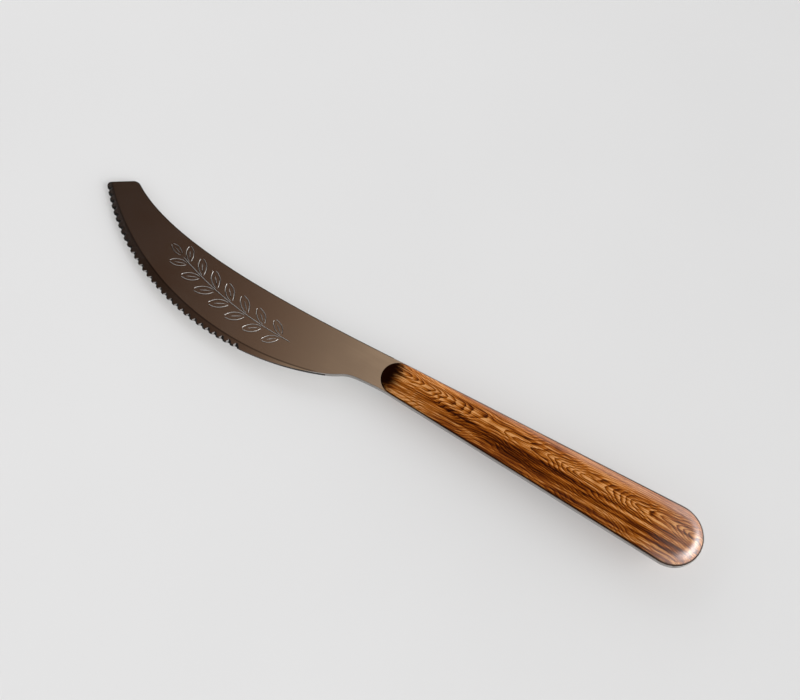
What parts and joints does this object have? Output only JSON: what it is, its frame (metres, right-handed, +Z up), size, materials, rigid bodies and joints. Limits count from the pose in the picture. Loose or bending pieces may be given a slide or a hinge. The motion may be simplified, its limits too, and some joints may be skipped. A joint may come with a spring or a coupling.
{
  "type": "pizza knife",
  "caption": "Table knife for pizza with a curved steel blade, toothed towards the tip and plain towards the heel, on a full tang held between rounded wooden scales.",
  "frame": {"origin": "on the lower scale's flat outer face, midway along the scales, on the handle's centre line", "axes": "+X along the handle from the blade to the butt, +Y across the handle to the spine's side, +Z up through the scales"},
  "size_m": [0.2204, 0.0329, 0.0081],
  "materials": {
    "blade_steel": "mirror-polished stainless steel",
    "scale_wood": "warm brown streaked wood under gloss lacquer",
    "bond_adhesive": "dark cured adhesive",
    "pin_steel": "drawn steel pin"
  },
  "bodies": {
    "root": {"blade": "blade_steel", "upper_scale": "scale_wood", "lower_scale": "scale_wood", "upper_bond_film": "bond_adhesive", "lower_bond_film": "bond_adhesive", "front_pin": "pin_steel", "middle_pin": "pin_steel", "rear_pin": "pin_steel"}
  },
  "joints": []
}
